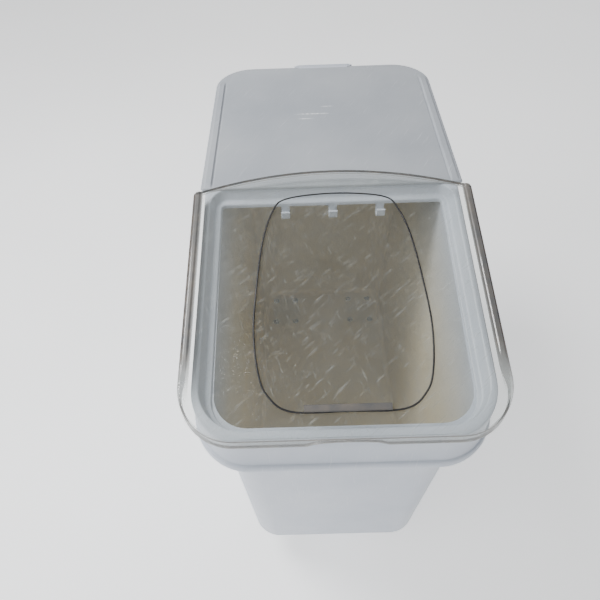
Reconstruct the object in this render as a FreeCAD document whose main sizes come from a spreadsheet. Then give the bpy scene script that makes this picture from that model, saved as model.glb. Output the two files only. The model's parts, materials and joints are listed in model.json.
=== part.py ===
"""Slant-top mobile bin for dry pet food: tub, rear lid, sliding clear lid and four casters.

Millimetres, +Z up, front towards -Y, +X to the right. The origin is on the floor below the
middle of the bin. The rim of the tub is level behind the fold and slopes down in front of it.
"""
import FreeCAD, Part
import math
import os

import Sketcher

DIMENSIONS = {
    # whole bin
    "front_edge": -375, "rear_edge": 371, "fold": 4, "slope": 12.1, "rim_height": 697,
    "floor_height": 95, "wall": 4,
    # how far a cutting form runs past what it cuts
    "over": 10,
    # collar round the top of the tub, with the bead along its lower edge
    "collar_half": 190, "collar_depth": 74, "bead_proud": 2.5, "bead_height": 17,
    "front_round": 70, "rear_round": 66, "rim_front": -372, "rim_rear": 367,
    "rim_thick": 18, "step_depth": 14, "land_width": 10,
    # tapered tub
    "tub_top_half": 170, "tub_bottom_half": 154, "tub_top_front": -354, "tub_bottom_front": -309,
    "tub_top_rear": 350, "tub_bottom_rear": 330, "tub_round": 48,
    # bar across the opening under the fold, and the scoop hooks below it
    "bar_front": -8, "bar_back": 20, "bar_lift": 4, "hook_centre": 2, "hook_pitch": 72,
    "hook_width": 13, "hook_drop": 24, "hook_reach": 15, "hook_thick": 4,
    # rear lid
    "lid_half": 197, "lid_plate": 4.5, "lid_gap": 0.3, "lid_skirt": 14, "skirt_thick": 3.5,
    "rail_height": 2, "rail_inner": 180, "rail_outer": 192, "rail_front": 10, "rail_rear": 318,
    "tab_half": 50, "tab_reach": 4, "tab_centre": 4,
    # clear lid
    "clear_half": 203, "clear_thick": 3, "clear_raise": 16, "clear_bow": 15, "clear_sweep": 21,
    "clear_gap": 0.5,
    "flange_drop": 12, "flange_front": -285, "notch_half": 45,
    "notch_height": 9, "grip_half": 50, "grip_width": 9, "grip_height": 3, "grip_setback": 30,
    "cut_reach": 60,
    # casters
    "caster_x": 95, "caster_front": -240, "caster_rear": 262, "plate_width": 66,
    "plate_length": 90, "plate_thick": 3, "bolt_x": 25, "bolt_y": 35, "wheel_radius": 38,
    "wheel_width": 30, "rim_radius": 29, "trail": 30, "fork_inner": 34, "fork_thick": 3,
    "ball_radius": 2.5, "ball_ring": 17, "ball_gap": 0.6, "race_outer": 23, "race_inner": 20.5,
    "race_depth": 4, "pivot_radius": 5, "pivot_head": 9, "axle_radius": 4, "bush_radius": 5.5,
    "running": 0.06, "fit": 0.1, "nut_flat": 6.5, "nut_thick": 6.5, "crown_thick": 4,
    "bolt_radius": 3, "bolt_head": 7.5, "bolt_nut_flat": 5, "bolt_nut_thick": 5,
}
BALL_COUNT = 12
RIM_SLOPE = "tan(dims.slope)"

document = FreeCAD.newDocument("bin")
sheet = document.addObject("Spreadsheet::Sheet", "dims")
for row, (alias, number) in enumerate(DIMENSIONS.items(), start=1):
    sheet.set(f"A{row}", alias)
    sheet.set(f"B{row}", str(number))
    sheet.setAlias(f"B{row}", alias)
document.recompute()


def value(expression):
    """The number that an expression on the sheet gives now."""
    return float(sheet.evalExpression(str(expression)))


def rim(along, above="0"):
    """Height of the sloping rim at the given Y, plus an offset."""
    return f"dims.rim_height + (({along}) - dims.fold) * {RIM_SLOPE} + ({above})"


# ---- sketches -------------------------------------------------------------------------------

def new_body(name):
    body = document.addObject("PartDesign::Body", name)
    body.Label = name
    return body


def new_sketch(body, plane, offset=None):
    """An empty sketch on one of the body's own origin planes, raised by an expression."""
    sketch = body.newObject("Sketcher::SketchObject", body.Name + "_sketch")
    origin = next(f for f in body.Origin.OriginFeatures if f.Role == plane + "_Plane")
    sketch.AttachmentSupport = [(origin, "")]
    sketch.MapMode = "FlatFace"
    if offset:
        sketch.setExpression("AttachmentOffset.Base.z", offset)
    return sketch


def bind(sketch, kind, *where, size):
    """Add a constraint whose value follows an expression."""
    index = sketch.addConstraint(Sketcher.Constraint(kind, *where, value(size)))
    sketch.setExpression(f"Constraints[{index}]", str(size))


def pin(sketch, geometry, end, across, along):
    bind(sketch, "DistanceX", -1, 1, geometry, end, size=across)
    bind(sketch, "DistanceY", -1, 1, geometry, end, size=along)


def polygon(sketch, points):
    """A closed outline of straight lines whose corners are pinned by expressions."""
    places = [FreeCAD.Vector(value(x), value(y), 0) for x, y in points]
    first = sketch.GeometryCount
    count = len(points)
    for i in range(count):
        sketch.addGeometry(Part.LineSegment(places[i], places[(i + 1) % count]), False)
    for i in range(count):
        follower = first + (i + 1) % count
        sketch.addConstraint(Sketcher.Constraint("Coincident", first + i, 2, follower, 1))
        pin(sketch, first + i, 1, *points[i])


def circle(sketch, radius, across="0", along="0"):
    centre = FreeCAD.Vector(value(across), value(along), 0)
    shape = Part.Circle(centre, FreeCAD.Vector(0, 0, 1), value(radius))
    index = sketch.addGeometry(shape, False)
    bind(sketch, "Radius", index, size=radius)
    pin(sketch, index, 3, across, along)


def rectangle(sketch, left, right, low, high):
    polygon(sketch, [(left, low), (right, low), (right, high), (left, high)])


def rounded_rectangle(sketch, half, front, rear, corner):
    """A rectangle across the bin's middle plane with four equal round corners."""
    left, right = f"-({half})", f"({half})"
    sides = [((f"{left} + {corner}", front), (f"{right} - {corner}", front)),
             ((right, f"{front} + {corner}"), (right, f"{rear} - {corner}")),
             ((f"{right} - {corner}", rear), (f"{left} + {corner}", rear)),
             ((left, f"{rear} - {corner}"), (left, f"{front} + {corner}"))]
    for start, end in sides:
        places = [FreeCAD.Vector(value(x), value(y), 0) for x, y in (start, end)]
        index = sketch.addGeometry(Part.LineSegment(*places), False)
        pin(sketch, index, 1, *start)
        pin(sketch, index, 2, *end)
    near, far = f"{left} + {corner}", f"{right} - {corner}"
    low, high = f"{front} + {corner}", f"{rear} - {corner}"
    for i, (x, y) in enumerate(((far, low), (far, high), (near, high), (near, low))):
        middle = FreeCAD.Vector(value(x), value(y), 0)
        ring = Part.Circle(middle, FreeCAD.Vector(0, 0, 1), value(corner))
        start = math.radians(-90 + 90 * i)
        index = sketch.addGeometry(Part.ArcOfCircle(ring, start, start + math.pi / 2), False)
        sketch.addConstraint(Sketcher.Constraint("Coincident", index, 1, i, 2))
        sketch.addConstraint(Sketcher.Constraint("Coincident", index, 2, (i + 1) % 4, 1))
        bind(sketch, "Radius", index, size=corner)


def hexagon(sketch, flat):
    """A hexagon across flats of twice the given half width, round the sketch's origin."""
    corner = f"({flat}) / cos(30)"
    turns = [30 + 60 * i for i in range(6)]
    polygon(sketch, [(f"{corner} * cos({t})", f"{corner} * sin({t})") for t in turns])


# ---- features -------------------------------------------------------------------------------

def feature(body, kind, sketch, length, symmetric=False, flip=False):
    """A pad or pocket of a sketch."""
    item = body.newObject("PartDesign::" + kind, f"{body.Name}_{kind.lower()}")
    item.Profile = sketch
    item.SideType = "Symmetric" if symmetric else "One side"
    item.Reversed = flip
    item.setExpression("Length", length)
    document.recompute()
    return item


def pad(body, sketch, length, symmetric=False, flip=False):
    return feature(body, "Pad", sketch, length, symmetric, flip)


def pocket(body, sketch, length, symmetric=False, flip=False):
    """A pocket that has to take material away, whichever way its sketch faces."""
    before = body.Shape.Volume
    item = feature(body, "Pocket", sketch, length, symmetric, flip)
    if body.Shape.Volume > before - 1e-6:
        item.Reversed = not flip
        document.recompute()
    if body.Shape.Volume > before - 1e-6:
        raise RuntimeError(item.Name + " cuts nothing")
    return item


def loft(body, low, high):
    """A tapered block between two outlines."""
    item = body.newObject("PartDesign::AdditiveLoft", body.Name + "_loft")
    item.Profile = low
    item.Sections = [high]
    item.Ruled = True
    document.recompute()


def revolve(body, sketch, axis):
    item = body.newObject("PartDesign::Revolution", body.Name + "_turned")
    item.Profile = sketch
    item.ReferenceAxis = (sketch, [axis])
    item.Angle = 360
    document.recompute()
    return item


def round_edges(body, radius, wanted):
    """Fillet the edges of the body's tip that the test picks."""
    base = body.Tip
    names = [f"Edge{i + 1}" for i, edge in enumerate(base.Shape.Edges) if wanted(edge)]
    item = body.newObject("PartDesign::Fillet", body.Name + "_fillet")
    item.Base = (base, names)
    item.setExpression("Radius", radius)
    document.recompute()
    return item


def upright_edge(front=None):
    """A test for straight upright edges, at the front or the rear, or at both."""
    def wanted(edge):
        if abs(edge.tangentAt(edge.FirstParameter).z) < 0.99:
            return False
        middle = edge.CenterOfMass.y
        return front is None or (middle < value("dims.fold")) == front
    return wanted


def boolean(kind, name, base, tool):
    """A Part boolean of two objects, or of a base and a list of tools."""
    item = document.addObject("Part::" + kind, name)
    if kind in ("Cut", "Common"):
        item.Base = base
        item.Tool = tool
    else:
        item.Shapes = [base] + tool
    document.recompute()
    return item


# ---- tub ------------------------------------------------------------------------------------

def rim_band(name, half, front, rear, low, high, front_round, rear_round):
    """A block that follows the rim: sloping before the fold and level behind it."""
    body = new_body(name)
    sketch = new_sketch(body, "YZ")
    outline = [(front, rim(front, low)), ("dims.fold", rim("dims.fold", low)),
               (rear, rim("dims.fold", low)), (rear, rim("dims.fold", high)),
               ("dims.fold", rim("dims.fold", high)), (front, rim(front, high))]
    polygon(sketch, outline)
    pad(body, sketch, f"2 * ({half})", symmetric=True)
    round_edges(body, front_round, upright_edge(front=True))
    round_edges(body, rear_round, upright_edge(front=False))
    return body


def tub_block(name, inset, bottom):
    """The tapered tub, taken in by the given thickness on every side."""
    body = new_body(name)
    levels = (("bottom", bottom), ("top", "dims.rim_height"))
    sketches = []
    for level, height in levels:
        sketch = new_sketch(body, "XY", height)
        rounded_rectangle(sketch, f"dims.tub_{level}_half - {inset}",
                          f"dims.tub_{level}_front + {inset}",
                          f"dims.tub_{level}_rear - {inset}", f"(dims.tub_round - {inset})")
        sketches.append(sketch)
    loft(body, sketches[0], sketches[1])
    return body


def hook_bar():
    """The stepped bar that carries both lids at the fold, with its three scoop hooks."""
    body = new_body("hook_bar")
    front, back, top = "dims.bar_front", "dims.bar_back", "dims.rim_height"
    ledge, under = f"{top} - dims.step_depth", f"{top} - dims.rim_thick"
    land = new_sketch(body, "YZ")
    polygon(land, [("dims.fold - dims.bar_lift", ledge), (back, ledge), (back, top),
                   ("dims.fold + dims.bar_lift", top)])
    pad(body, land, "2 * (dims.collar_half - dims.land_width - 1)", symmetric=True)
    foot = new_sketch(body, "YZ")
    rectangle(foot, front, back, under, ledge)
    pad(body, foot, "2 * (dims.tub_top_half - dims.wall - 1)", symmetric=True)
    low, nose = f"({under}) - dims.hook_drop", f"{front} - dims.hook_reach"
    for side in (-1, 0, 1):
        hook = new_sketch(body, "YZ", f"dims.hook_centre + {side} * dims.hook_pitch")
        polygon(hook, [(front, f"{under} + 1"), (front, f"{low} + dims.hook_thick"),
                       (f"{nose} + dims.hook_thick", f"{low} + dims.hook_thick"),
                       (f"{nose} + dims.hook_thick", f"{low} + 3 * dims.hook_thick"),
                       (nose, f"{low} + 3 * dims.hook_thick"), (nose, low),
                       (f"{front} + dims.hook_thick", low),
                       (f"{front} + dims.hook_thick", f"{under} + 1")])
        pad(body, hook, "dims.hook_width", symmetric=True)
    return body


def caster_places():
    """Name and position of each caster's own origin, on the floor below its plate."""
    for end in ("front", "rear"):
        for side, sign in (("left", -1), ("right", 1)):
            x, y = sign * value("dims.caster_x"), value(f"dims.caster_{end}")
            yield f"{end}_{side}", end, FreeCAD.Vector(x, y, 0)


def floor_holes():
    """Sixteen pegs where the caster bolts pass through the floor of the tub."""
    body = new_body("floor_holes")
    sketch = new_sketch(body, "XY", "dims.floor_height - dims.over")
    for end in ("front", "rear"):
        for side in (-1, 1):
            for sx in (-1, 1):
                for sy in (-1, 1):
                    circle(sketch, "dims.bolt_radius + dims.fit",
                           f"{side} * dims.caster_x + {sx} * dims.bolt_x",
                           f"dims.caster_{end} + {sy} * dims.bolt_y")
    pad(body, sketch, "dims.wall + 2 * dims.over")
    return body


def bin_body():
    """The tub's shell: collar and bead fused to the tapered tub, then hollowed and stepped."""
    wall, half, lower = "dims.wall", "dims.collar_half", "-dims.collar_depth"
    front, rear = "dims.rim_front + dims.bead_proud", "dims.rim_rear - dims.bead_proud"
    rounds = ("dims.front_round", "dims.rear_round")
    collar = rim_band("collar", half, front, rear, lower, "0", *rounds)
    bead = rim_band("bead", f"{half} + dims.bead_proud", "dims.rim_front", "dims.rim_rear",
                    lower, f"{lower} + dims.bead_height", *rounds)
    hollow = rim_band("collar_hollow", f"{half} - {wall}", f"{front} + {wall}",
                      f"{rear} - {wall}", f"{lower} - 2 * dims.over", "-dims.rim_thick",
                      *[f"{size} - {wall}" for size in rounds])
    inset = "(dims.land_width + 1)"
    step = rim_band("rim_step", f"{half} - {inset}", f"{front} + {inset}", f"{rear} - {inset}",
                    "-dims.step_depth", "2 * dims.over", *[f"{size} - {inset}" for size in rounds])
    below_rim = rim_band("below_rim", "2 * dims.collar_half", "dims.front_edge - dims.over",
                         "dims.rear_edge + dims.over", "-dims.rim_height", f"-{wall}", wall, wall)
    shell = boolean("MultiFuse", "collar_and_bead", collar, [bead])
    shell = boolean("Cut", "hollow_collar", shell, hollow)
    outside = boolean("Common", "tub_outside", tub_block("tub_form", "0", "dims.floor_height"),
                      below_rim)
    shell = boolean("MultiFuse", "shell", shell, [outside])
    inside = tub_block("tub_cavity", wall, f"dims.floor_height + {wall}")
    shell = boolean("Cut", "open_shell", shell, inside)
    shell = boolean("Cut", "stepped_shell", shell, step)
    return boolean("Cut", "bin_body", shell, floor_holes())


# ---- lids -----------------------------------------------------------------------------------

def level_block(name, half, front, rear, low, high, rear_round):
    """An upright block behind the fold with rounded rear corners."""
    body = new_body(name)
    sketch = new_sketch(body, "XY", low)
    rectangle(sketch, f"-({half})", half, front, rear)
    pad(body, sketch, f"({high}) - ({low})")
    round_edges(body, rear_round, upright_edge(front=False))
    return body


def rear_lid():
    """Flat lid over the level part of the rim: plate, skirt, side rails and lift tab."""
    under = "dims.rim_height + dims.lid_gap"
    top = under + " + dims.lid_plate"
    body = level_block("rear_lid", "dims.lid_half", "dims.fold", "dims.rear_edge",
                       f"{under} - dims.lid_skirt", top, "dims.rear_round")
    for side in (-1, 1):
        sketch = new_sketch(body, "XY", f"{top} - 1")
        inner, outer = f"{side} * dims.rail_inner", f"{side} * dims.rail_outer"
        rectangle(sketch, inner, outer, "dims.rail_front", "dims.rail_rear")
        pad(body, sketch, "1 + dims.rail_height")
    sketch = new_sketch(body, "XY", f"{top} - dims.lid_plate")
    rectangle(sketch, "dims.tab_centre - dims.tab_half", "dims.tab_centre + dims.tab_half",
              "dims.rear_edge - dims.over", "dims.rear_edge + dims.tab_reach")
    pad(body, sketch, "dims.lid_plate")
    inside = level_block("rear_lid_inside", "dims.lid_half - dims.skirt_thick",
                         "dims.fold - dims.over", "dims.rear_edge - dims.skirt_thick",
                         f"{under} - dims.lid_skirt - dims.over", under,
                         "dims.rear_round - dims.skirt_thick")
    body.Label = "rear_lid_form"
    lid = boolean("Cut", "rear_lid_shell", body, inside)
    lid.Label = "rear_lid"
    return lid


def sloping_block(name, half, front, rear, low, high, front_round):
    """A block between two planes parallel to the sloping rim, with rounded front corners."""
    body = new_body(name)
    sketch = new_sketch(body, "YZ")
    polygon(sketch, [(front, rim(front, low)), (rear, rim(rear, low)),
                     (rear, rim(rear, high)), (front, rim(front, high))])
    pad(body, sketch, f"2 * ({half})", symmetric=True)
    round_edges(body, front_round, upright_edge(front=True))
    return body


def clear_lid():
    """Clear plate above the sloping rim: side flanges, front skirt, grip bar and notch."""
    rear = "dims.fold + dims.clear_bow"
    under, top = "dims.clear_raise", "(dims.clear_raise + dims.clear_thick)"
    body = sloping_block("clear_block", "dims.clear_half", "dims.front_edge", rear,
                         "dims.clear_gap", top, "dims.front_round")
    for side in (-1, 1):
        sketch = new_sketch(body, "YZ", f"{side} * (dims.clear_half - dims.clear_thick / 2)")
        start = "dims.flange_front"
        foot = "-dims.flange_drop"
        polygon(sketch, [(start, rim(start, foot)), (rear, rim(rear, foot)),
                         (rear, rim(rear, under)), (start, rim(start, under))])
        pad(body, sketch, "dims.clear_thick", symmetric=True)
    sketch = new_sketch(body, "YZ")
    low = "dims.front_edge + dims.grip_setback"
    high = f"{low} + dims.grip_width"
    polygon(sketch, [(low, rim(low, f"{top} - 1")), (high, rim(high, f"{top} - 1")),
                     (high, rim(high, f"{top} + dims.grip_height")),
                     (low, rim(low, f"{top} + dims.grip_height"))])
    pad(body, sketch, "2 * dims.grip_half", symmetric=True)
    inside = sloping_block("clear_inside", "dims.clear_half - dims.clear_thick",
                           "dims.front_edge + dims.clear_thick", f"{rear} + dims.over",
                           "-dims.flange_drop - 2 * dims.over", under,
                           "dims.front_round - dims.clear_thick")
    lid = boolean("Cut", "clear_shell", body, inside)
    lid = boolean("Cut", "notched_lid", lid, finger_notch())
    return boolean("Cut", "clear_lid", lid, behind_bow())


def finger_notch():
    """The form of the notch in the front skirt."""
    body = new_body("finger_notch")
    sketch = new_sketch(body, "XZ", "-dims.front_edge - dims.over")
    foot = rim("dims.front_edge", "-dims.notch_height")
    edge = rim("dims.front_edge", "dims.clear_gap + dims.notch_height")
    polygon(sketch, [("-dims.notch_half", foot), ("dims.notch_half", foot),
                     ("dims.notch_half * 0.8", edge), ("-dims.notch_half * 0.8", edge)])
    pad(body, sketch, "2 * dims.over")
    return body


def behind_bow():
    """All that lies behind the clear lid's rear edge, which bows back in a flat arc."""
    body = new_body("behind_bow")
    sketch = new_sketch(body, "XY", "dims.rim_height - dims.cut_reach")
    side, back = "dims.clear_half * 1.01", "dims.fold + dims.cut_reach"
    crown, corner = "dims.fold + dims.clear_bow", "dims.fold - dims.clear_sweep"
    bulge = "(dims.clear_bow + dims.clear_sweep)"
    radius = f"(({side})^2 + {bulge}^2) / (2 * {bulge})"
    places = [(side, corner), (side, back), (f"-{side}", back), (f"-{side}", corner)]
    ends = [FreeCAD.Vector(value(x), value(y), 0) for x, y in places]
    for start, end in zip(ends, ends[1:]):
        sketch.addGeometry(Part.LineSegment(start, end), False)
    centre = FreeCAD.Vector(0, value(f"{crown} - {radius}"), 0)
    lean = math.atan2(ends[0].y - centre.y, ends[0].x)
    ring = Part.Circle(centre, FreeCAD.Vector(0, 0, 1), value(radius))
    sketch.addGeometry(Part.ArcOfCircle(ring, lean, math.pi - lean), False)
    for line in (0, 1):
        sketch.addConstraint(Sketcher.Constraint("Coincident", line, 2, line + 1, 1))
    for line in (0, 2):
        sketch.addConstraint(Sketcher.Constraint("Vertical", line))
    pin(sketch, 1, 1, side, back)
    pin(sketch, 1, 2, f"-{side}", back)
    sketch.addConstraint(Sketcher.Constraint("Coincident", 3, 1, 0, 1))
    sketch.addConstraint(Sketcher.Constraint("Coincident", 3, 2, 2, 2))
    pin(sketch, 3, 3, "0", f"{crown} - {radius}")
    bind(sketch, "Radius", 3, size=radius)
    pad(body, sketch, "2 * dims.cut_reach")
    return body


# ---- casters --------------------------------------------------------------------------------

def plate_holes(body):
    """The four bolt holes of a caster plate."""
    sketch = new_sketch(body, "XY", "dims.floor_height - dims.plate_thick")
    for sx in (-1, 1):
        for sy in (-1, 1):
            circle(sketch, "dims.bolt_radius + dims.fit", f"{sx} * dims.bolt_x",
                   f"{sy} * dims.bolt_y")
    pocket(body, sketch, "dims.plate_thick", flip=True)


def plate(body):
    sketch = new_sketch(body, "XY", "dims.floor_height - dims.plate_thick")
    rectangle(sketch, "-dims.plate_width / 2", "dims.plate_width / 2",
              "-dims.plate_length / 2", "dims.plate_length / 2")
    pad(body, sketch, "dims.plate_thick")
    round_edges(body, "8", upright_edge())


def top_plate(body):
    """Caster plate with the ring that shrouds its bearing balls."""
    plate(body)
    under = "dims.floor_height - dims.plate_thick"
    ring = new_sketch(body, "XY", f"{under} - dims.race_depth")
    circle(ring, "dims.race_outer")
    circle(ring, "dims.race_inner")
    pad(body, ring, "dims.race_depth")
    plate_holes(body)
    hole = new_sketch(body, "XY", under)
    circle(hole, "dims.pivot_radius")
    pocket(body, hole, "dims.plate_thick", flip=True)


CROWN = "dims.floor_height - dims.plate_thick - 2 * dims.ball_radius - dims.ball_gap"


def channel(body, crown, outline, centre):
    """A bent fork: a profile as wide as the fork, opened in the middle, with axle holes."""
    sketch = new_sketch(body, "YZ")
    polygon(sketch, outline)
    pad(body, sketch, "dims.fork_inner + 2 * dims.fork_thick", symmetric=True)
    inside = new_sketch(body, "YZ")
    rectangle(inside, "-80", "80", "-5", crown)
    pocket(body, inside, "dims.fork_inner", symmetric=True)
    hole = new_sketch(body, "YZ")
    circle(hole, "dims.axle_radius + dims.fit", centre, "dims.wheel_radius")
    pocket(body, hole, "4 * dims.fork_inner", symmetric=True)


def leg(centre, top, front, rear):
    """Side view of a fork leg that narrows from the crown to a boss round the axle."""
    boss = [(f"{centre} + {12 * math.cos(math.radians(t)):.3f}",
             f"dims.wheel_radius + {12 * math.sin(math.radians(t)):.3f}")
            for t in (20, -15, -50, -90, -130, -165)]
    return [(front, top), (rear, top)] + boss + [(front, f"{top} - 14")]


def swivel_fork(body):
    outline = leg("dims.trail", CROWN, "-dims.race_outer", "dims.race_outer + 3")
    channel(body, f"{CROWN} - dims.crown_thick", outline, "dims.trail")
    hole = new_sketch(body, "XY", f"{CROWN} - dims.crown_thick")
    circle(hole, "dims.pivot_radius + dims.running")
    pocket(body, hole, "dims.crown_thick", flip=True)


def rigid_fork(body):
    plate(body)
    top = "dims.floor_height - dims.plate_thick"
    channel(body, top, leg("0", top + " + 0.5", "-24", "24"), "0")
    plate_holes(body)


def kingpin(body):
    """Rivet on which the fork turns: flush in the plate, with a flat head under the crown."""
    sketch = new_sketch(body, "XZ")
    under = f"{CROWN} - dims.crown_thick - dims.lid_gap"
    polygon(sketch, [("0", f"{under} - 3"), ("dims.pivot_head - 2", f"{under} - 3"),
                     ("dims.pivot_head", f"{under} - 1"), ("dims.pivot_head", under),
                     ("dims.pivot_radius", under), ("dims.pivot_radius", "dims.floor_height"),
                     ("0", "dims.floor_height")])
    revolve(body, sketch, "V_Axis")


def along_axle(body, start):
    """A sketch square to the axle, centred on it; padding it grows towards +X."""
    return new_sketch(body, "YZ", start)


def shifted(sketch, centre):
    """Move a sketch on the YZ plane so that its origin is on the axle."""
    sketch.setExpression("AttachmentOffset.Base.x", centre)
    sketch.setExpression("AttachmentOffset.Base.y", "dims.wheel_radius")
    return sketch


SIDE = "dims.fork_inner / 2 + dims.fork_thick"


def axle(body, centre):
    head = shifted(along_axle(body, f"-({SIDE}) - 5"), centre)
    hexagon(head, "dims.nut_flat")
    pad(body, head, "5")
    shank = shifted(along_axle(body, f"-({SIDE}) - 1"), centre)
    circle(shank, "dims.axle_radius")
    pad(body, shank, f"1 + 2 * ({SIDE}) + dims.nut_thick + 3")


def axle_nut(body, centre):
    sketch = shifted(along_axle(body, SIDE), centre)
    hexagon(sketch, "dims.nut_flat")
    circle(sketch, "dims.axle_radius")
    pad(body, sketch, "dims.nut_thick")


def axle_bush(body, centre):
    sketch = shifted(along_axle(body, "0"), centre)
    circle(sketch, "dims.bush_radius")
    circle(sketch, "dims.axle_radius")
    pad(body, sketch, "dims.fork_inner", symmetric=True)


def turned_about_axle(body, centre, profile):
    """Turn a profile of (radius, place along the axle) about the axle."""
    sketch = new_sketch(body, "XY", "dims.wheel_radius")
    sketch.setExpression("AttachmentOffset.Base.y", centre)
    polygon(sketch, [(along, radius) for radius, along in profile])
    revolve(body, sketch, "H_Axis")


def wheel_core(body, centre):
    """Moulded wheel centre: hub, thin web and rim in one turned profile."""
    bore, half = "dims.bush_radius + dims.running", "dims.wheel_width / 2"
    rim_in, rim_out = "dims.rim_radius - 4", "dims.rim_radius"
    right = [(bore, half), ("12", half), ("12", "4"), (rim_in, "4"), (rim_in, f"{half} - 1"),
             (rim_out, f"{half} - 1")]
    left = [(radius, f"-({along})") for radius, along in reversed(right)]
    turned_about_axle(body, centre, right + left)


def tyre(body, centre):
    """Solid tread band with rounded shoulders."""
    half = "(dims.wheel_width / 2 - 1)"
    shoulder = [(f"dims.wheel_radius - 6 + {6 * math.sin(math.radians(t)):.3f}",
                 f"{half} - 6 + {6 * math.cos(math.radians(t)):.3f}") for t in range(0, 91, 15)]
    right = [("dims.rim_radius", half)] + shoulder
    left = [(radius, f"-({along})") for radius, along in reversed(right)]
    turned_about_axle(body, centre, right + left)


def group(name, template, places):
    """One node of identical separate solids: the template's shape at each place."""
    item = document.addObject("Part::Feature", name)
    shapes = []
    for place in places:
        copy = template.Shape.copy()
        copy.translate(place)
        shapes.append(copy)
    item.Shape = Part.Compound(shapes)
    return item


def templates():
    """The ball, carriage bolt and nut that every caster repeats."""
    ball = document.addObject("Part::Sphere", "ball")
    ball.setExpression("Radius", "dims.ball_radius")
    bolt = new_body("bolt")
    sketch = new_sketch(bolt, "XZ")
    seat, foot = "dims.floor_height + dims.wall", "dims.floor_height - 10"
    polygon(sketch, [("0", foot), ("dims.bolt_radius", foot), ("dims.bolt_radius", seat),
                     ("dims.bolt_head", seat), ("dims.bolt_head * 0.8", f"{seat} + 2"),
                     ("dims.bolt_head * 0.4", f"{seat} + 3.2"), ("0", f"{seat} + 3.5")])
    revolve(bolt, sketch, "V_Axis")
    nut = new_body("nut")
    sketch = new_sketch(nut, "XY", "dims.floor_height - dims.plate_thick - dims.bolt_nut_thick")
    hexagon(sketch, "dims.bolt_nut_flat")
    circle(sketch, "dims.bolt_radius")
    pad(nut, sketch, "dims.bolt_nut_thick")
    document.recompute()
    return ball, bolt, nut


def ball_places():
    height = value("dims.floor_height - dims.plate_thick - dims.ball_radius")
    ring = value("dims.ball_ring")
    turns = [2 * math.pi * i / BALL_COUNT for i in range(BALL_COUNT)]
    return [FreeCAD.Vector(ring * math.cos(t), ring * math.sin(t), height) for t in turns]


def casters():
    """Every piece of the four casters, each placed by its caster's own origin."""
    ball, bolt, nut = templates()
    bolt_x, bolt_y = value("dims.bolt_x"), value("dims.bolt_y")
    corners = [FreeCAD.Vector(sx * bolt_x, sy * bolt_y, 0) for sx in (-1, 1) for sy in (-1, 1)]
    nodes = []
    for name, end, place in caster_places():
        own = []
        swivel = end == "front"
        centre = "dims.trail" if swivel else "0"
        pieces = {"axle": axle, "axle_nut": axle_nut, "axle_bush": axle_bush,
                  "wheel_core": wheel_core, "tyre": tyre}
        for piece, make in pieces.items():
            body = new_body(f"{name}_{piece}")
            make(body, centre)
            own.append(body)
        frames = {"top_plate": top_plate, "kingpin": kingpin, "fork": swivel_fork}
        if not swivel:
            frames = {"bracket": rigid_fork}
        for piece, make in frames.items():
            body = new_body(f"{name}_{piece}")
            make(body)
            own.append(body)
        groups = {"plate_bolts": (bolt, corners), "plate_nuts": (nut, corners)}
        if swivel:
            groups["bearing_balls"] = (ball, ball_places())
        for piece, (template, places) in groups.items():
            own.append(group(f"{name}_{piece}", template, places))
        for node in own:
            node.Placement = FreeCAD.Placement(place, FreeCAD.Rotation())
        nodes += own
    return nodes


# ---- assemble, check and write --------------------------------------------------------------

def check(nodes):
    document.recompute()
    for item in document.Objects:
        if {"Invalid", "Error"} & set(item.State):
            raise RuntimeError(f"{item.Name} failed: {item.State}")
    for node in nodes:
        if node.Shape.isNull() or not node.Shape.isValid():
            raise RuntimeError(f"{node.Label} has no valid shape")


NODES = [bin_body(), hook_bar(), rear_lid(), clear_lid()] + casters()
check(NODES)
os.makedirs("parts", exist_ok=True)
for node in NODES:
    node.Shape.exportStep(f"parts/{node.Label}.step")
    box = node.Shape.BoundBox
    print(f"{node.Label:32s} solids {len(node.Shape.Solids):2d} volume {node.Shape.Volume:12.1f}"
          f" x {box.XMin:.1f} {box.XMax:.1f} y {box.YMin:.1f} {box.YMax:.1f}"
          f" z {box.ZMin:.1f} {box.ZMax:.1f}")
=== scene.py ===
"""Looks of a slant-top pet food bin on casters: moulded tub, rear lid, clear sliding lid."""
import json
import math

import bmesh
import bpy
import numpy as np
from bpy.props import FloatProperty, FloatVectorProperty, PointerProperty, StringProperty
from mathutils import Matrix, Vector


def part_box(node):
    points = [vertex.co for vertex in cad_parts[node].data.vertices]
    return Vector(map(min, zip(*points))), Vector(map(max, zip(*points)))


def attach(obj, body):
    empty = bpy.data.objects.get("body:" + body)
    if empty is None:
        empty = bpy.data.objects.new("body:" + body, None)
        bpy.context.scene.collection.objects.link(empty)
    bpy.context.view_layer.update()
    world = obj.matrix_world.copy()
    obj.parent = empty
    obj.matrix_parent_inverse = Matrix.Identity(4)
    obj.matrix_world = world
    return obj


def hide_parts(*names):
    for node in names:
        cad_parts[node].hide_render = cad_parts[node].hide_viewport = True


bl_info = {
    "name": "Slant-top bin",
    "version": (1, 0, 0),
    "blender": (4, 5, 0),
    "location": "View3D > Sidebar > Bin",
    "description": "Builds the visible shapes and finishes of a mobile food bin",
    "category": "Add Mesh",
}

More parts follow.
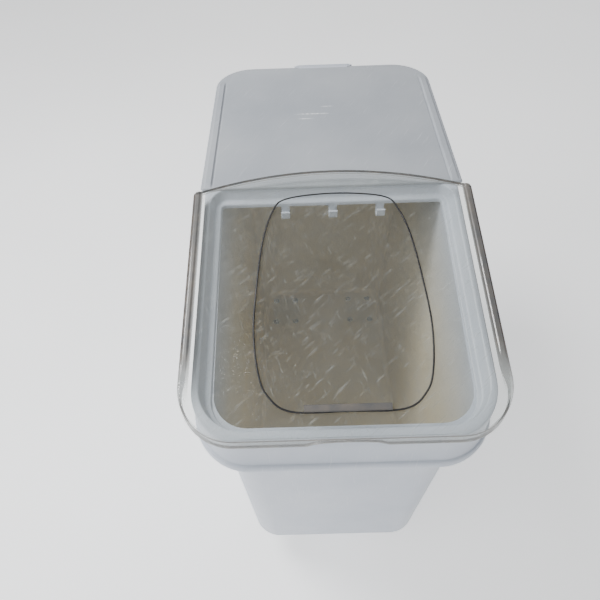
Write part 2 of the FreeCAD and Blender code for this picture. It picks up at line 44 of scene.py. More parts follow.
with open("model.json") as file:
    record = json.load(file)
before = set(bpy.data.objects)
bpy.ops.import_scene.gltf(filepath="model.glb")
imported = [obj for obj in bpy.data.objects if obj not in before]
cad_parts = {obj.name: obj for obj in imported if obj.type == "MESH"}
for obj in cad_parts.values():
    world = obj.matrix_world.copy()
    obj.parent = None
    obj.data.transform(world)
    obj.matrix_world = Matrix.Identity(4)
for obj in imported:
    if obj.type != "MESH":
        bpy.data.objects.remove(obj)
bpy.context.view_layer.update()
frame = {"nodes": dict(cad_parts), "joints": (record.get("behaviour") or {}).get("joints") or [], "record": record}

TUB_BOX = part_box("bin_body")
LID_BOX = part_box("rear_lid")
CLEAR_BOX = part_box("clear_lid")
SLIDE = next(j for j in frame["joints"] if j["name"] == "clear_lid_slide")
SLOPE = math.radians(SLIDE["range_deg"][1])
FOLD = LID_BOX[0][1]
RIM = TUB_BOX[1][2]
FLOOR = TUB_BOX[0][2]


# ---- shapes -----------------------------------------------------------------------------------

def slope_z(y):
    """Height of the sloping rim plane at y, also past the fold."""
    return RIM + (y - FOLD) * math.tan(SLOPE)


def rim_z(y):
    """Height of the rim: the slope in front of the fold, level behind it."""
    return np.minimum(slope_z(y), RIM)


def smooth(low, high, value):
    """0 below low, 1 above high, and a smooth cubic ramp between them."""
    t = np.clip((value - low) / (high - low), 0, 1)
    return t * t * (3 - 2 * t)


def new_object(name, points, faces, slots, tints=None):
    """A mesh object at the origin from an array of points and a list of face arrays.

    tints, one number per point, is the attribute that the finishes read: how much painted shade a clear
    edge gets, or how far a white wall is mixed towards warm beige."""
    mesh = bpy.data.meshes.new(name)
    mesh.from_pydata(points.tolist(), [], [f for part in faces for f in part.tolist()])
    mesh.polygons.foreach_set("use_smooth", np.ones(len(mesh.polygons), dtype=bool))
    if tints is not None:
        layer = mesh.attributes.new("edge_tint", "FLOAT", "POINT")
        layer.data.foreach_set("value", tints.astype(np.float32))
    mesh.update()
    mesh.validate()
    piece = bpy.data.objects.new(name, mesh)
    bpy.context.scene.collection.objects.link(piece)
    for material in slots:
        mesh.materials.append(material)
    return piece


def sharpen(piece, degrees=35):
    """Keep creases above an angle crisp while the rest shades smooth."""
    mesh = piece.data
    mesh.set_sharp_from_angle(angle=math.radians(degrees))


def strip(first, second, count):
    """Faces between two closed rings of vertex indices, the second one lower or further out."""
    k = np.arange(count)
    n = (k + 1) % count
    return np.stack([first[k], second[k], second[n], first[n]], axis=1)


def ring_counts():
    """Divisions of the tub's outline: across, fold to front, fold to rear, and per corner."""
    return 26, 28, 28, 14


def tub_outline(half, front, rear, front_round, rear_round):
    """Plan points of a round-cornered rectangle, as x and y of an unrolled parameter.

    The same parameter always falls on the same side or corner, so rings of any size line up.
    The inputs are numbers or arrays with one value per ring point."""
    across, low, high, arc = ring_counts()
    n_a, n_l, n_h = (np.linspace(0, 1, k, endpoint=False) for k in (across, low, high))
    turn = np.linspace(0, 0.5 * np.pi, arc, endpoint=False)
    # each row: weight of the half width, whether the corner is a rear one, weight of its radius
    parts_x = [(2 * n_a - 1, 0, -(2 * n_a - 1)), (np.ones(arc), 0, np.sin(turn) - 1),
               (np.ones(low), 0, np.zeros(low)), (np.ones(high), 0, np.zeros(high)),
               (np.ones(arc), 1, np.cos(turn) - 1), (1 - 2 * n_a, 1, -(1 - 2 * n_a)),
               (-np.ones(arc), 1, 1 - np.sin(turn)), (-np.ones(high), 1, np.zeros(high)),
               (-np.ones(low), 0, np.zeros(low)), (-np.ones(arc), 0, 1 - np.cos(turn))]
    wide = np.concatenate([p[0] for p in parts_x])
    bend = np.concatenate([p[2] for p in parts_x])
    at_rear = np.concatenate([np.full(len(p[0]), p[1]) for p in parts_x])
    corner = np.where(at_rear > 0, rear_round, front_round)
    x = wide * half + bend * corner
    y_parts = [lambda f, r: np.zeros(across) + f, lambda f, r: f + front_round * (1 - np.cos(turn)),
               lambda f, r: (f + front_round) * (1 - n_l) + FOLD * n_l,
               lambda f, r: FOLD * (1 - n_h) + (r - rear_round) * n_h,
               lambda f, r: r - rear_round * (1 - np.sin(turn)), lambda f, r: np.zeros(across) + r,
               lambda f, r: r - rear_round * (1 - np.cos(turn)),
               lambda f, r: (r - rear_round) * (1 - n_h) + FOLD * n_h,
               lambda f, r: FOLD * (1 - n_l) + (f + front_round) * n_l,
               lambda f, r: f + front_round * (1 - np.sin(turn))]
    sizes = [len(p[0]) for p in parts_x]
    starts = np.cumsum([0] + sizes)
    front_all = np.broadcast_to(front, wide.shape)
    rear_all = np.broadcast_to(rear, wide.shape)
    y = np.concatenate([part(front_all[a:b], rear_all[a:b])
                        for part, a, b in zip(y_parts, starts[:-1], starts[1:])])
    return x, y


def collar_ring(inset, above, proud=0.0):
    """A ring parallel to the collar's wall, at a height above the rim plane."""
    shape = bpy.context.scene.bin_shape
    x, y = tub_outline(shape.collar_half - inset + proud, shape.collar_front + inset - proud,
                       shape.collar_rear - inset + proud, shape.front_round - inset + proud,
                       shape.rear_round - inset + proud)
    return np.stack([x, y, rim_z(y) + above], axis=1)


def tub_ring(inset, height):
    """A ring on the tapered tub wall, taken in by inset, at a height given as a function of y.

    Half width, front and rear run straight from bottom to top, so the ring is solved by a few
    rounds of height from place and place from height."""
    shape = bpy.context.scene.bin_shape
    count = len(tub_outline(0.1, -0.1, 0.1, 0.01, 0.01)[0])
    z = np.full(count, 0.5 * (FLOOR + RIM))
    for repeat in range(8):
        t = (z - FLOOR) / (RIM - FLOOR)
        half = shape.tub_bottom_half + (shape.tub_top_half - shape.tub_bottom_half) * t - inset
        front = shape.tub_bottom_front + (shape.tub_top_front - shape.tub_bottom_front) * t + inset
        rear = shape.tub_bottom_rear + (shape.tub_top_rear - shape.tub_bottom_rear) * t - inset
        corner = shape.tub_round - inset
        x, y = tub_outline(half, front, rear, corner, corner)
        z = height(y)
    return np.stack([x, y, z], axis=1)


def rings_to_mesh(name, rings, slots, tints):
    """A closed shell from a stack of rings, each end closed by one flat face.

    tints has one value per ring."""
    count = len(rings[0])
    points = np.concatenate(rings)
    index = [np.arange(count) + i * count for i in range(len(rings))]
    faces = [strip(a, b, count) for a, b in zip(index[:-1], index[1:])]
    caps = [index[0][None, :], index[-1][::-1][None, :]]
    piece = new_object(name, points, faces + caps, slots, np.repeat(tints, count))
    sharpen(piece)
    return piece


def smooth_loop(corners, steps=14):
    """A closed curve through points in plan, by a cubic between each two of them.

    Each point's tangent is half the chord between its neighbours (a Catmull-Rom curve)."""
    points = np.asarray(corners, dtype=float)
    ahead, behind = np.roll(points, -1, axis=0), np.roll(points, 1, axis=0)
    tangent = (ahead - behind) / 2
    t = np.linspace(0, 1, steps, endpoint=False)[None, :, None]
    a, b = points[:, None, :], ahead[:, None, :]
    start, end = tangent[:, None, :], np.roll(tangent, -1, axis=0)[:, None, :]
    curve = ((2 * t ** 3 - 3 * t ** 2 + 1) * a + (t ** 3 - 2 * t ** 2 + t) * start
             + (3 * t ** 2 - 2 * t ** 3) * b + (t ** 3 - t ** 2) * end)
    return curve.reshape(-1, 2)


def arc_steps(count=5):
    """Sine and cosine of a quarter turn in even steps."""
    turns = np.linspace(0, 0.5 * math.pi, count)
    return list(zip(np.sin(turns), np.cos(turns)))


def boundary(rows, cols):
    """Grid indices round the edge of a grid, anticlockwise from above, from its first corner."""
    grid = np.arange(rows * cols).reshape(rows, cols)
    return np.concatenate([grid[0, :], grid[1:, -1], grid[-1, -2::-1], grid[-2:0:-1, 0]])


def outward(loop):
    """Unit vectors in plan that point out of an anticlockwise loop."""
    step = np.roll(loop, -1, axis=0) - np.roll(loop, 1, axis=0)
    normal = np.stack([step[:, 1], -step[:, 0]], axis=1)
    return normal / np.linalg.norm(normal, axis=1, keepdims=True)


def tray(name, top, under, rings, slots, tints=None):
    """A closed shell: a top grid, rings that lead down round its edge, and an under grid.

    top and under are (rows, columns, 3) grids of the same size, and every ring has one point
    for each edge point of the grid. tints lists the top's, the under's and each ring's."""
    rows, cols = top.shape[:2]
    edge = boundary(rows, cols)
    count = len(edge)
    i, j = np.meshgrid(np.arange(rows - 1), np.arange(cols - 1), indexing="ij")
    a = (i * cols + j).ravel()
    quads = np.stack([a, a + 1, a + cols + 1, a + cols], axis=1)
    base = rows * cols
    points = [top.reshape(-1, 3), under.reshape(-1, 3)] + list(rings)
    chain = [edge] + [2 * base + k * count + np.arange(count) for k in range(len(rings))]
    chain.append(edge + base)
    faces = [quads, (quads + base)[:, ::-1]]
    faces += [strip(a, b, count) for a, b in zip(chain[:-1], chain[1:])]
    values = None if tints is None else np.concatenate([np.ravel(t) for t in tints])
    piece = new_object(name, np.concatenate(points), faces, slots, values)
    sharpen(piece)
    return piece


def swept(name, path, profile, slots, up=(0, 0, 1), closed=False, tints=None):
    """A closed tube: a flat profile of (sideways, upward) carried along a path of points."""
    path = np.asarray(path, dtype=float)
    ahead = np.roll(path, -1, axis=0) - np.roll(path, 1, axis=0)
    if not closed:
        ahead[0], ahead[-1] = path[1] - path[0], path[-1] - path[-2]
    ahead /= np.linalg.norm(ahead, axis=1, keepdims=True)
    side = np.cross(ahead, np.asarray(up, dtype=float))
    side /= np.linalg.norm(side, axis=1, keepdims=True)
    over = np.cross(side, ahead)
    profile = np.asarray(profile, dtype=float)
    points = (path[:, None, :] + side[:, None, :] * profile[None, :, :1]
              + over[:, None, :] * profile[None, :, 1:])
    rows, cols = len(path), len(profile)
    index = np.arange(rows * cols).reshape(rows, cols)
    steps = rows if closed else rows - 1
    k = np.arange(steps)
    c = np.arange(cols)
    a = index[k[:, None], c[None, :]]
    b = index[k[:, None], (c[None, :] + 1) % cols]
    d = index[(k[:, None] + 1) % rows, c[None, :]]
    e = index[(k[:, None] + 1) % rows, (c[None, :] + 1) % cols]
    faces = [np.stack([a, d, e, b], axis=-1).reshape(-1, 4)]
    if not closed:
        faces += [index[0][None, :], index[-1][::-1][None, :]]
    points = points.reshape(-1, 3)
    values = None if tints is None else np.full(len(points), float(tints))
    piece = new_object(name, points, faces, slots, values)
    make_normals_outward(piece)
    sharpen(piece)
    return piece


def make_normals_outward(piece):
    """Turn every face of a closed piece outwards, by the sign of its enclosed volume."""
    shape = bmesh.new()
    shape.from_mesh(piece.data)
    bmesh.ops.recalc_face_normals(shape, faces=shape.faces)
    shape.to_mesh(piece.data)
    shape.free()


def rounded_profile(width, height, corner, steps=4):
    """A round-cornered rectangle of (sideways, upward) points round its middle."""
    turns = np.linspace(0, 0.5 * math.pi, steps)
    points = []
    for quarter, (sx, sy) in enumerate(((1, 1), (-1, 1), (-1, -1), (1, -1))):
        angles = turns + quarter * 0.5 * math.pi
        points += [(sx * (width / 2 - corner) + corner * math.cos(a),
                    sy * (height / 2 - corner) + corner * math.sin(a)) for a in angles]
    return points


# ---- finishes ---------------------------------------------------------------------------------

MIX = "ShaderNodeMix:RGBA"
SUM = "ShaderNodeMath:ADD"
TIMES = "ShaderNodeMath:MULTIPLY"


def linear(colour):
    """A linear RGBA colour from an sRGB hex string."""
    values = [int(colour[i:i + 2], 16) / 255 for i in (1, 3, 5)]
    return tuple(v / 12.92 if v <= 0.04045 else ((v + 0.055) / 1.055) ** 2.4
                 for v in values) + (1.0,)


def add(tree, kind, settings=None, links=None):
    """One node: settings are node attributes or input values, links are input sockets.

    A node's name may carry a mode after a colon, such as ShaderNodeMath:ADD, and then the
    node's result comes back in its place: a clamped sum or product, or a mix of two colours."""
    kind, _, mode = kind.partition(":")
    node = tree.nodes.new(kind)
    if mode == "RGBA":
        node.data_type = mode
    elif mode:
        node.operation, node.use_clamp = mode, True
    for key, entry in (settings or {}).items():
        if isinstance(key, str) and hasattr(node, key) and key not in node.inputs:
            setattr(node, key, entry)
        else:
            node.inputs[key].default_value = entry
    for key, source in (links or {}).items():
        tree.links.new(source, node.inputs[key])
    if mode:
        return node.outputs[2 if mode == "RGBA" else 0]
    return node


def new_finish(name):
    """An empty material with its output node and Object coordinates."""
    material = bpy.data.materials.new(name)
    material.use_nodes = True
    tree = material.node_tree
    tree.nodes.clear()
    place = add(tree, "ShaderNodeTexCoord").outputs["Object"]
    output = add(tree, "ShaderNodeOutputMaterial")
    return material, tree, place, output


def blotches(tree, place, size, low, high, detail=3.0):
    """Soft noise of a given feature size in metres, spread between two values."""
    noise = add(tree, "ShaderNodeTexNoise", {"Scale": 1 / size, "Detail": detail},
                {"Vector": place})
    spread = add(tree, "ShaderNodeMapRange",
                 {"From Min": 0.32, "From Max": 0.68, "To Min": low, "To Max": high},
                 {"Value": noise.outputs["Fac"]})
    return spread.outputs["Result"]


def hairlines(tree, place, angle, pitch, length, low, high):
    """Fine scratches one way: noise drawn out along a turned axis, with only its peaks kept."""
    turned = add(tree, "ShaderNodeMapping", {"Rotation": (0, 0, angle)}, {"Vector": place})
    drawn = add(tree, "ShaderNodeMapping", {"Scale": (1 / pitch, 1 / length, 1 / length)},
                {"Vector": turned.outputs["Vector"]})
    noise = add(tree, "ShaderNodeTexNoise", {"Scale": 1.0, "Detail": 2.0},
                {"Vector": drawn.outputs["Vector"]})
    peaks = add(tree, "ShaderNodeMapRange",
                {"From Min": 0.64, "From Max": 0.74, "To Min": low, "To Max": high},
                {"Value": noise.outputs["Fac"]})
    return peaks.outputs["Result"]


def streak(tree, place, middle, angle, length, width):
    """One where a short slanted rub mark is, fading to nothing round it."""
    moved = add(tree, "ShaderNodeVectorMath", {"operation": "SUBTRACT", 1: middle}, {0: place})
    turned = add(tree, "ShaderNodeMapping", {"Rotation": (0, 0, angle),
                                             "Scale": (1 / length, 1 / width, 0)},
                 {"Vector": moved.outputs["Vector"]})
    ball = add(tree, "ShaderNodeTexGradient", {"gradient_type": "SPHERICAL"},
               {"Vector": turned.outputs["Vector"]})
    return ball.outputs["Fac"]


def moulded_polyethylene(name, colour, shade, grain, depth, marks=()):
    """Polyethylene moulded against a fine grained tool: satin, slightly waxy, faintly scuffed.

    It gives the eye a soft wide highlight, a little glow at thin edges and a fine orange peel.
    Inside the tub its colour is mixed towards a warm beige, uneven and stronger low down."""
    material, tree, place, output = new_finish(name)
    cloud = blotches(tree, place, 0.14, 0.0, 1.0)
    base = add(tree, MIX, {6: linear(colour), 7: linear(shade)}, {0: cloud})
    # warm beige mix inside the tub, set by the edge_tint attribute and made uneven by blotches
    warm_share = add(tree, "ShaderNodeAttribute", {"attribute_name": "edge_tint"}).outputs["Fac"]
    warm_mix = add(tree, TIMES, {}, {0: warm_share, 1: blotches(tree, place, 0.09, 0.8, 1.0)})
    base = add(tree, MIX, {7: linear("#e0d3b2")}, {0: warm_mix, 6: base})
    scuffs = hairlines(tree, place, 0.5, 0.0016, 0.05, 0.0, 0.22)
    for middle, angle, length, width in marks:
        near = streak(tree, place, middle, angle, length, width)
        broken = blotches(tree, place, 0.004, 0.2, 1.6)
        mark = add(tree, TIMES, {}, {0: near, 1: broken})
        scuffs = add(tree, SUM, {}, {0: scuffs, 1: mark})
    base = add(tree, MIX, {7: linear("#f7f8f8")}, {0: scuffs, 6: base})
    rough = blotches(tree, place, 0.03, 0.36, 0.46)
    peel = add(tree, "ShaderNodeTexNoise", {"Scale": 1 / grain, "Detail": 2.0}, {"Vector": place})
    bump = add(tree, "ShaderNodeBump", {"Strength": 0.35, "Distance": depth},
               {"Height": peel.outputs["Fac"]})
    add_surface(tree, output, {"IOR": 1.51, "Subsurface Weight": 0.12,
                               "Subsurface Radius": (0.006, 0.006, 0.006),
                               "Subsurface Scale": 1.0},
                {"Base Color": base, "Roughness": rough, "Normal": bump.outputs["Normal"]})
    return material


def add_surface(tree, output, settings, links):
    surface = add(tree, "ShaderNodeBsdfPrincipled", settings, links)
    tree.links.new(surface.outputs["BSDF"], output.inputs["Surface"])
    return surface


def clear_polycarbonate(name):
    """Injection moulded clear polycarbonate, worn by hands and scoops.

    Broad faces pass most of the light under a thin layer of scratches, dust and a painted, uneven reflection haze.
    Where a flange stands in line with the eye, painted dark grey with brown in it stands in for the shade and
    internal reflection of the clear wall seen edge on."""
    material, tree, place, output = new_finish(name)
    # painted shade: where edge_tint is high, the plate turns dark grey with brown in it, for clear walls seen edge
    # on
    tint = add(tree, "ShaderNodeAttribute", {"attribute_name": "edge_tint"}).outputs["Fac"]
    painted_edge_dark = add(tree, MIX, {6: linear("#2c2b2e"), 7: linear("#5a4e43")},
                {0: blotches(tree, place, 0.02, 0.0, 1.0)})
    base = add(tree, MIX, {6: linear("#d6dad8")}, {0: tint, 7: painted_edge_dark})
    # painted reflection: the diffuse grey haze thickens where the plate is seen at a grazing angle
    facing = add(tree, "ShaderNodeLayerWeight", {"Blend": 0.5}).outputs["Facing"]
    edge = add(tree, "ShaderNodeMapRange", {"From Min": 0.45, "From Max": 1.0, "To Min": 0.0,
                                            "To Max": 0.5}, {"Value": facing})
    wear = hairlines(tree, place, 0.9, 0.0010, 0.03, 0.0, 0.22)
    cross = hairlines(tree, place, -0.35, 0.0008, 0.02, 0.0, 0.14)
    dust = add(tree, "ShaderNodeTexNoise", {"Scale": 620.0, "Detail": 1.0}, {"Vector": place})
    flecks = add(tree, "ShaderNodeMapRange", {"From Min": 0.71, "From Max": 0.77, "To Min": 0.0,
                                              "To Max": 0.7}, {"Value": dust.outputs["Fac"]})
    worn = streak(tree, place, (-0.115, -0.29, 0.65), 0.5, 0.17, 0.11)
    # painted reflection: an uneven thin haze of diffuse grey over the whole plate, for the veil that reflection
    # lays on clear plastic
    reflection_haze = blotches(tree, place, 0.16, 0.04, 0.075)
    specks = add(tree, TIMES, {}, {0: worn, 1: flecks.outputs["Result"]})
    scratches = add(tree, SUM, {}, {0: wear, 1: cross})
    # cover adds painted reflection haze and painted edge shade to real scratches and dust specks
    cover = add(tree, SUM, {}, {0: reflection_haze, 1: add(tree, TIMES, {1: 0.93}, {0: tint})})
    for layer in (edge.outputs["Result"], scratches, specks):
        cover = add(tree, SUM, {}, {0: cover, 1: layer})
    surface = add(tree, "ShaderNodeBsdfPrincipled",
                  {"IOR": 1.585, "Roughness": 0.30, "Coat Weight": 0.5, "Coat IOR": 1.6,
                   "Coat Roughness": 0.03}, {"Base Color": base})
    passing = add(tree, "ShaderNodeBsdfTransparent", {"Color": (0.965, 0.972, 0.966, 1.0)})
    both = add(tree, "ShaderNodeMixShader", {}, {0: cover})
    tree.links.new(passing.outputs["BSDF"], both.inputs[1])
    tree.links.new(surface.outputs["BSDF"], both.inputs[2])
    tree.links.new(both.outputs["Shader"], output.inputs["Surface"])
    return material


def painted_step_dark(name):
    """Painted shade: opaque dark grey for the dark line that refraction gives a moulded step in clear
    polycarbonate.
    """
    material, tree, place, output = new_finish(name)
    base = add(tree, MIX, {6: linear("#1c1c1f"), 7: linear("#3a3938")},
               {0: blotches(tree, place, 0.04, 0, 1)})
    add_surface(tree, output, {"IOR": 1.4, "Roughness": 0.38}, {"Base Color": base})
    return material


def zinc_plate(name):
    """Bright zinc plate on pressed steel: clear grey metal with faint cloudy crystals."""
    material, tree, place, output = new_finish(name)
    cloud = blotches(tree, place, 0.006, 0, 1, 4.0)
    base = add(tree, MIX, {6: linear("#b9bcc0"), 7: linear("#9da1a6")}, {0: cloud})
    rough = blotches(tree, place, 0.004, 0.24, 0.42)
    add_surface(tree, output, {"Metallic": 1.0}, {"Base Color": base, "Roughness": rough})
    return material


def grey_polypropylene(name):
    """Moulded polypropylene wheel centre, matt with a fine grain."""
    material, tree, place, output = new_finish(name)
    base = add(tree, MIX, {6: linear("#c3c5c6"), 7: linear("#b2b5b7")},
               {0: blotches(tree, place, 0.02, 0, 1)})
    add_surface(tree, output, {"IOR": 1.49}, {"Base Color": base,
                                              "Roughness": blotches(tree, place, 0.005, 0.4, 0.55)})
    return material


def tread_rubber(name):
    """Grey-black caster rubber, matt, with floor dust rubbed into it."""
    material, tree, place, output = new_finish(name)
    dust = blotches(tree, place, 0.012, 0, 0.6)
    base = add(tree, MIX, {6: linear("#2b2b2d"), 7: linear("#56534f")}, {0: dust})
    grit = add(tree, "ShaderNodeTexNoise", {"Scale": 1 / 0.0012}, {"Vector": place})
    bump = add(tree, "ShaderNodeBump", {"Strength": 0.4, "Distance": 0.0002},
               {"Height": grit.outputs["Fac"]})
    add_surface(tree, output, {"IOR": 1.52, "Roughness": 0.75},
                {"Base Color": base, "Normal": bump.outputs["Normal"]})
    return material


# rub marks on the rear lid: middle, angle, length and width
LID_MARKS = (((-0.020, 0.205, 0.70), -0.95, 0.036, 0.0022),
             ((-0.034, 0.190, 0.70), -0.7, 0.016, 0.0018),
             ((0.004, 0.228, 0.70), -1.05, 0.014, 0.0016))

# each material slot of the record: the name of its material, and what makes it
MAKERS = {
    "white_polyethylene": ("satin polyethylene", lambda name: moulded_polyethylene(
        name, "#cbd0d9", "#c0c7d2", 0.0022, 0.0003)),
    "white_lid": ("matt polyethylene", lambda name: moulded_polyethylene(
        name, "#b1b5ba", "#a4a9b0", 0.0016, 0.0004, LID_MARKS)),
    "clear_polycarbonate": ("clear polycarbonate", clear_polycarbonate),
    # painted shade for the dark step line of the clear lid
    "polycarbonate_step": ("smoky polycarbonate", painted_step_dark),
    "zinc_steel": ("zinc plated steel", zinc_plate),
    "grey_polypropylene": ("grey polypropylene", grey_polypropylene),
    "caster_rubber": ("caster rubber tread", tread_rubber),
}


def finish(slot):
    """The material of a slot, made once."""
    name, make = MAKERS[slot]
    return bpy.data.materials.get(name) or make(name)


# ---- settings ---------------------------------------------------------------------------------

def size_property(label, about, default):
    return FloatProperty(name=label, description=about, default=default, unit="LENGTH",
                         precision=4)


class BinShape(bpy.types.PropertyGroup):
    """Main sizes of the moulded pieces."""

    collar_half: size_property("Collar half width", "Half width of the collar", 0.190)
    collar_front: size_property("Collar front", "Front of the collar", -0.3695)
    collar_rear: size_property("Collar rear", "Rear of the collar", 0.3645)
    collar_depth: size_property("Collar depth", "Depth of the collar below the rim", 0.074)
    bead_height: size_property("Bead height", "Height of the collar's bead", 0.017)
    bead_proud: size_property("Bead depth", "How far the bead stands out", 0.0045)
    front_round: size_property("Front corners", "Radius of the front corners", 0.070)
    rear_round: size_property("Rear corners", "Radius of the rear corners", 0.066)
    tub_top_half: size_property("Tub top half width", "Half width of the tub at the rim", 0.170)
    tub_bottom_half: size_property("Tub bottom half width", "Half width at the floor", 0.154)
    tub_top_front: size_property("Tub top front", "Front of the tub at the rim", -0.354)
    tub_bottom_front: size_property("Tub bottom front", "Front of the tub at the floor", -0.309)
    tub_top_rear: size_property("Tub top rear", "Rear of the tub at the rim", 0.350)
    tub_bottom_rear: size_property("Tub bottom rear", "Rear of the tub at the floor", 0.330)
    tub_round: size_property("Tub corners", "Radius of the tub's upright corners", 0.048)
    wall: size_property("Wall", "Thickness of the tub's wall", 0.004)
    plate: size_property("Clear plate", "Thickness of the clear plate", 0.003)
    raise_by: size_property("Clear lid height", "Underside of the clear plate above the rim", 0.016)


class StageLook(bpy.types.PropertyGroup):
    """Camera and light."""

    eye: FloatVectorProperty(name="Eye", description="Where the camera stands", subtype="XYZ",
                             default=(-0.045, -0.6711, 1.2235), unit="LENGTH")
    pitch: FloatProperty(name="Pitch", description="How far the camera looks down",
                         default=math.radians(49.24), subtype="ANGLE")
    roll: FloatProperty(name="Roll", description="Turn about the view axis",
                        default=math.radians(2.31), subtype="ANGLE")
    yaw: FloatProperty(name="Yaw", description="Turn to the right",
                       default=math.radians(-0.75), subtype="ANGLE")
    lens: FloatProperty(name="Lens", description="Focal length in millimetres", default=33.48)
    floor_colour: StringProperty(name="Floor", description="Floor colour", default="#f7f8f9")
    key_power: FloatProperty(name="Key light", description="Power of the key light", default=38.0)


# ---- operators --------------------------------------------------------------------------------

class BIN_OT_tub(bpy.types.Operator):
    """Build the moulded tub: cavity, rim, collar with its bead, outer wall and floor"""
    bl_idname = "food_bin.tub"
    bl_label = "Tub"

    def execute(self, context):
        shape = context.scene.bin_shape
        wall = shape.wall
        inner_floor = FLOOR + wall
        rings = []
        # inside: a round where floor meets wall, then up the wall to just below the rim
        corner = 0.012
        for s, c in arc_steps(5):
            inset = wall + corner * (1 - s)
            level = inner_floor + corner * (1 - c)
            rings.append(tub_ring(inset, lambda y, level=level: np.full_like(y, level)))
        for share in (0.25, 0.5, 0.75):
            rings.append(tub_ring(wall, lambda y, share=share: inner_floor
                                  + (rim_z(y) - 0.017 - inner_floor) * share))
        # the rings so far, inside the tub, get the warm beige mix
        warm_ring_count = len(rings)
        rings.append(tub_ring(wall, lambda y: rim_z(y) - 0.0175))
        rings.append(collar_ring(0.0065, -0.0175))
        rings.append(collar_ring(0.0065, -0.0015))
        for s, c in arc_steps(4):
            rings.append(collar_ring(0.0065 - 0.0015 * s - 0.0005, -0.0015 * c))
        # land and its outer round
        for s, c in arc_steps(5):
            rings.append(collar_ring(0.003 * (1 - s), -0.003 * (1 - c)))
        depth, bead, proud = shape.collar_depth, shape.bead_height, shape.bead_proud
        rings.append(collar_ring(0.0, -0.02))
        rings.append(collar_ring(0.0, -(depth - bead) + 0.002))
        # bead: a half ellipse that bulges out of the collar's lower edge
        for turn in np.linspace(0.04 * np.pi, 0.93 * np.pi, 13):
            above = -depth + bead / 2 * (1 + math.cos(turn))
            rings.append(collar_ring(0, above, proud * math.sin(turn) ** 0.8))
        rings.append(collar_ring(0.002, -depth + 0.0002))
        rings.append(collar_ring(wall, -depth + 0.004))
        rings.append(collar_ring(wall, -0.022))
        rings.append(collar_ring(wall + 0.002, -0.0205))
        rings.append(tub_ring(-0.003, lambda y: rim_z(y) - 0.0215))
        rings.append(tub_ring(0.0, lambda y: rim_z(y) - 0.025))
        # outside wall down to the rounded floor edge
        for share in (0.75, 0.5, 0.25):
            rings.append(tub_ring(0.0, lambda y, share=share: FLOOR
                                  + (rim_z(y) - 0.025 - FLOOR) * share))
        corner = 0.016
        for s, c in reversed(arc_steps(6)):
            inset = corner * (1 - s)
            level = FLOOR + corner * (1 - c)
            rings.append(tub_ring(inset, lambda y, level=level: np.full_like(y, level)))
        # full warm beige mix on the inner rings, less on the top inner ring, none on the rest
        warm_mix = np.where(np.arange(len(rings)) < warm_ring_count, 1.0, 0.0)
        warm_mix[warm_ring_count - 1] = 0.75
        piece = rings_to_mesh("tub_shell", rings, [finish("white_polyethylene")], warm_mix)
        make_normals_outward(piece)
        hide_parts("bin_body")
        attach(piece, "tub")
        return {"FINISHED"}


